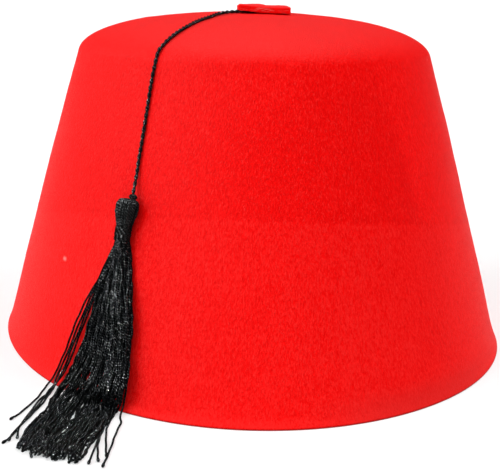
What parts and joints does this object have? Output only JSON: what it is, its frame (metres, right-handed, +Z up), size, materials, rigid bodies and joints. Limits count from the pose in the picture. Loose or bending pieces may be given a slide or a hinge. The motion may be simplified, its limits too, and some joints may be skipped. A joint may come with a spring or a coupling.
{
  "type": "fez hat",
  "caption": "Felt fez: a tapering crown with a low domed top and an open head hollow, a felt patch over the middle, and a thread tassel on a twisted cord down the front left wall.",
  "frame": {"origin": "middle of the cut rim, on the surface that the hat stands on", "axes": "+Z up through the top, +Y along the long axis of the head oval, +X along the short one; the tassel hangs on the wall between -X and -Y"},
  "size_m": [0.1784, 0.2038, 0.1168],
  "materials": {
    "red_felt": "matte pressed wool felt",
    "red_felt_patch": "matte pressed wool felt, cut edges",
    "black_cord": "twisted cord with a slight sheen",
    "black_thread": "loose twisted threads with a slight sheen",
    "black_binding": "wound thread with a slight sheen"
  },
  "bodies": {
    "root": {"crown": "red_felt", "top_patch": "red_felt_patch", "cord": "black_cord", "cord_knot": "black_cord", "tassel_head": "black_thread", "tassel_binding": "black_binding", "tassel_skirt": "black_thread"}
  },
  "joints": []
}
